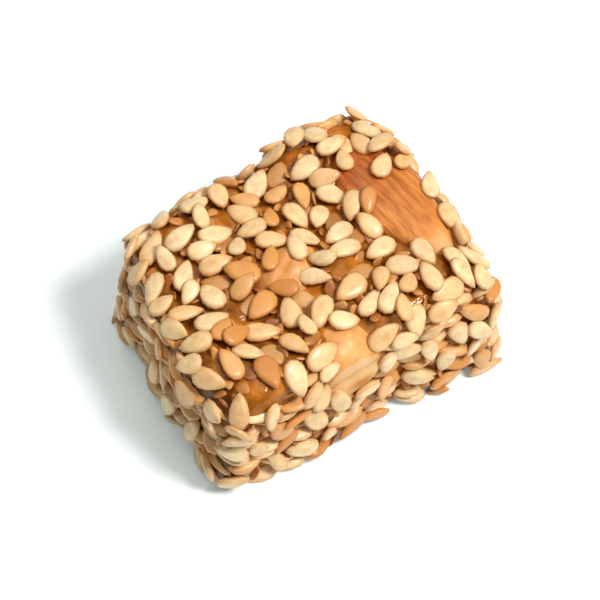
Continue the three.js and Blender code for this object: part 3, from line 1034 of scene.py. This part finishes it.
caramel_tree, given = new_tree(
    "caramel set round the seeds",
    {
        "Form": "Geometry",
        "Held Pieces": "Collection",
        "Draw Back": "Float",
        "Pool Rise": "Float",
        "Climb Height": "Float",
        "Climb Reach": "Float",
        "Ripple Height": "Float",
        "Ripple Spacing": "Float",
        "Board Gap": "Float",
        "Finish": "Material",
    },
)
pool = add_node(caramel_tree, "GeometryNodeInputNamedAttribute", {"Name": "pool"}, data_type="FLOAT")
held = add_node(caramel_tree, "GeometryNodeCollectionInfo", {"Collection": given["Held Pieces"]})
held_real = add_node(caramel_tree, "GeometryNodeRealizeInstances", {"Geometry": held})
place = add_node(caramel_tree, "GeometryNodeInputPosition")
ripple_scale = add_node(
    caramel_tree, "ShaderNodeMath", {0: 1.0, 1: given["Ripple Spacing"]}, operation="DIVIDE"
)
ripple = add_node(
    caramel_tree, "ShaderNodeTexNoise", {"Vector": place, "Scale": ripple_scale, "Detail": 2.0}
)
ripple_centred = add_node(caramel_tree, "ShaderNodeMath", {0: ripple, 1: 0.5}, operation="SUBTRACT")
rippled = add_node(
    caramel_tree, "ShaderNodeMath", {0: ripple_centred, 1: given["Ripple Height"]}, operation="MULTIPLY"
)
pooled = add_node(
    caramel_tree,
    "ShaderNodeMath",
    {0: pool, 1: given["Pool Rise"], 2: rippled},
    operation="MULTIPLY_ADD",
)
level = add_node(
    caramel_tree, "ShaderNodeMath", {0: pooled, 1: given["Draw Back"]}, operation="SUBTRACT"
)
settled = raised_by(caramel_tree, given["Form"], level)
nearest = add_node(
    caramel_tree, "GeometryNodeProximity", {"Geometry": held_real}, target_element="FACES"
)
reached = add_node(
    caramel_tree,
    "ShaderNodeMath",
    {0: nearest.outputs["Distance"], 1: given["Climb Reach"]},
    operation="DIVIDE",
)
fading = add_node(caramel_tree, "ShaderNodeMath", {0: reached, 1: -1.0}, operation="MULTIPLY")
share = add_node(caramel_tree, "ShaderNodeMath", {0: fading}, operation="EXPONENT")
climb = add_node(
    caramel_tree, "ShaderNodeMath", {0: share, 1: given["Climb Height"]}, operation="MULTIPLY"
)
marked = add_node(
    caramel_tree,
    "GeometryNodeStoreNamedAttribute",
    {"Geometry": settled, "Name": "film", "Value": share},
    data_type="FLOAT",
    domain="POINT",
)
climbed = raised_by(caramel_tree, marked, climb)
on_board = pressed_flat(caramel_tree, climbed, given["Board Gap"])
close_tree(caramel_tree, on_board, given["Finish"])

CLOUD_SIZE = 2.2  # mm
SURFACE_GRAIN = 0.45  # mm
SURFACE_RELIEF = 0.15  # mm
CARAMEL_TONES = {"From Min": 0.35, "From Max": 0.65}  # the part of the clouds between dark and light
FILM_TINT = {"From Min": 0.5, "To Max": 0.3}  # from how near a seed it looks thin, and how much
# painted shade: the caramel of the two cut ends is coloured darker
END_SHADE_TINT = {"To Max": 0.7}  # how much darker it is on the ends
CARAMEL_ROUGHNESS = {"To Min": 0.1, "To Max": 0.34}  # in the gaps, and right beside a seed


def boiled_caramel():
    """Sugar boiled dark and set hard. It gives deep brown gaps with sharp small glints, an amber edge
    where only a thin film of it lies against a seed, and painted shade on the two cut ends, which are
    coloured darker."""
    material, tree, surface = new_material("dark boiled caramel")
    spot = add_node(tree, "ShaderNodeTexCoord").outputs["Object"]
    cloud = add_node(
        tree, "ShaderNodeTexNoise", {"Vector": spot, "Scale": 1 / (CLOUD_SIZE * MM), "Detail": 3.0}
    )
    spread = add_node(tree, "ShaderNodeMapRange", {"Value": cloud, **CARAMEL_TONES})
    body = add_node(
        tree,
        "ShaderNodeMix",
        {"Factor": spread, "A": linear("#6c3a0c"), "B": linear("#c07424")},
        data_type="RGBA",
    )
    film = add_node(tree, "ShaderNodeAttribute", attribute_name="film").outputs["Fac"]
    cut_end = add_node(tree, "ShaderNodeAttribute", attribute_name="cut_end").outputs["Fac"]
    thin = add_node(tree, "ShaderNodeMapRange", {"Value": film, **FILM_TINT})
    # The ends' darker colour is painted shade.
    end_shade = add_node(tree, "ShaderNodeMapRange", {"Value": cut_end, **END_SHADE_TINT})
    # The amber near a seed is the caramel's own colour where it lies thin; the dark tint on the ends is
    # painted shade.
    for factor, tint in ((thin, "#c2802e"), (end_shade, "#54290a")):
        body = add_node(
            tree,
            "ShaderNodeMix",
            {"Factor": factor, "A": body.outputs["Result"], "B": linear(tint)},
            data_type="RGBA",
        )
    grain = add_node(
        tree, "ShaderNodeTexNoise", {"Vector": spot, "Scale": 1 / (SURFACE_GRAIN * MM), "Detail": 2.0}
    )
    relief = add_node(
        tree, "ShaderNodeBump", {"Height": grain, "Strength": 0.5, "Distance": SURFACE_RELIEF * MM}
    )
    dulled = add_node(tree, "ShaderNodeMapRange", {"Value": film, **CARAMEL_ROUGHNESS})
    feed(
        tree,
        surface,
        {
            "Base Color": body.outputs["Result"],
            "Normal": relief,
            "Roughness": dulled,
            "Specular IOR Level": 0.45,
            "Specular Tint": linear("#ffe4c8"),
            "IOR": 1.5,
            "Subsurface Weight": 0.15,
            "Subsurface Radius": (1.0, 0.35, 0.1),
            "Subsurface Scale": 0.8 * MM,
        },
    )
    return material


held_collection = bpy.data.collections.new("held pieces")
for piece in held_pieces:
    held_collection.objects.link(piece)
caramel = grow(
    "caramel_body",
    caramel_mesh("caramel form"),
    caramel_tree,
    {
        "Held Pieces": held_collection,
        "Draw Back": CARAMEL_DRAW_BACK * MM,
        "Pool Rise": POOL_RISE * MM,
        "Climb Height": CLIMB_HEIGHT * MM,
        "Climb Reach": CLIMB_REACH * MM,
        "Ripple Height": RIPPLE_HEIGHT * MM,
        "Ripple Spacing": RIPPLE_SPACING * MM,
        "Board Gap": BOARD_GAP * MM,
        "Finish": boiled_caramel(),
    },
)
bpy.data.collections.remove(held_collection)
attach(caramel, "root")
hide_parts("brittle_slab")

# ---------------------------------------------------------------- floor, light and camera
# A plain white floor that glows a little, as in a light tent that is lit from below too. The main
# lamp stands above and to the right of the camera, so that the left side is shaded and the shadow
# falls softly to the left. A wide lamp overhead and a weak one behind fill it.

CAMERA_AZIMUTH = math.radians(-32)
CAMERA_ELEVATION = math.radians(55)
CAMERA_DISTANCE = 0.2  # m
CAMERA_LENS = 135.0
LOOK_AT = Vector((0.3, 0.0, 5.6)) * MM
FLOOR_HALF = 2  # m
LAMPS = {  # azimuth and elevation in degrees, distance and width in metres, power in watts, colour
    "main lamp": (34, 56, 0.5, 0.14, 2.25, "#fffdf9"),
    "overhead lamp": (0, 88, 0.6, 0.6, 1.6, "#fff7ea"),
    "back lamp": (170, 50, 0.5, 0.3, 0.3, "#ffffff"),
}

floor_mesh = bpy.data.meshes.new("floor")
floor_corners = [(x * FLOOR_HALF, y * FLOOR_HALF, 0) for x, y in ((-1, -1), (1, -1), (1, 1), (-1, 1))]
floor_mesh.from_pydata(floor_corners, [], [(0, 1, 2, 3)])
floor = bpy.data.objects.new("floor", floor_mesh)
bpy.context.scene.collection.objects.link(floor)
paper, tree, surface = new_material("white paper")
feed(
    tree,
    surface,
    {
        "Base Color": linear("#ecf2f6"),
        "Emission Color": linear("#c4e6f0"),
        "Emission Strength": 0.22,
        "Roughness": 0.9,
    },
)
floor_mesh.materials.append(paper)


def towards(azimuth, elevation):
    """The direction from the slab to something at an azimuth, 0 being in front of it."""
    level = math.cos(elevation)
    return Vector((math.sin(azimuth) * level, -math.cos(azimuth) * level, math.sin(elevation)))


def soft_lamp(name, azimuth, elevation, distance, width, power, colour):
    """A round lamp that faces the slab."""
    lamp = bpy.data.lights.new(name, "AREA")
    lamp.shape = "DISK"
    lamp.size = width
    lamp.energy = power
    lamp.color = linear(colour)[:3]
    holder = bpy.data.objects.new(name, lamp)
    back = towards(math.radians(azimuth), math.radians(elevation))
    holder.location = back * distance
    holder.rotation_euler = back.to_track_quat("Z", "Y").to_euler()
    bpy.context.scene.collection.objects.link(holder)


for name, settings in LAMPS.items():
    soft_lamp(name, *settings)

world = bpy.data.worlds.new("tent")
bpy.context.scene.world = world
world.use_nodes = True
air = world.node_tree.nodes["Background"]
feed(world.node_tree, air, {"Color": linear("#f2f0e6"), "Strength": 0.1})
bpy.context.scene.view_settings.view_transform = "Standard"

camera_data = bpy.data.cameras.new("camera")
camera_data.lens = CAMERA_LENS
camera_data.clip_start = 0.01
camera = bpy.data.objects.new("camera", camera_data)
camera_back = towards(CAMERA_AZIMUTH, CAMERA_ELEVATION)
camera.location = LOOK_AT + camera_back * CAMERA_DISTANCE
camera.rotation_euler = camera_back.to_track_quat("Z", "Y").to_euler()
bpy.context.scene.collection.objects.link(camera)
bpy.context.scene.camera = camera
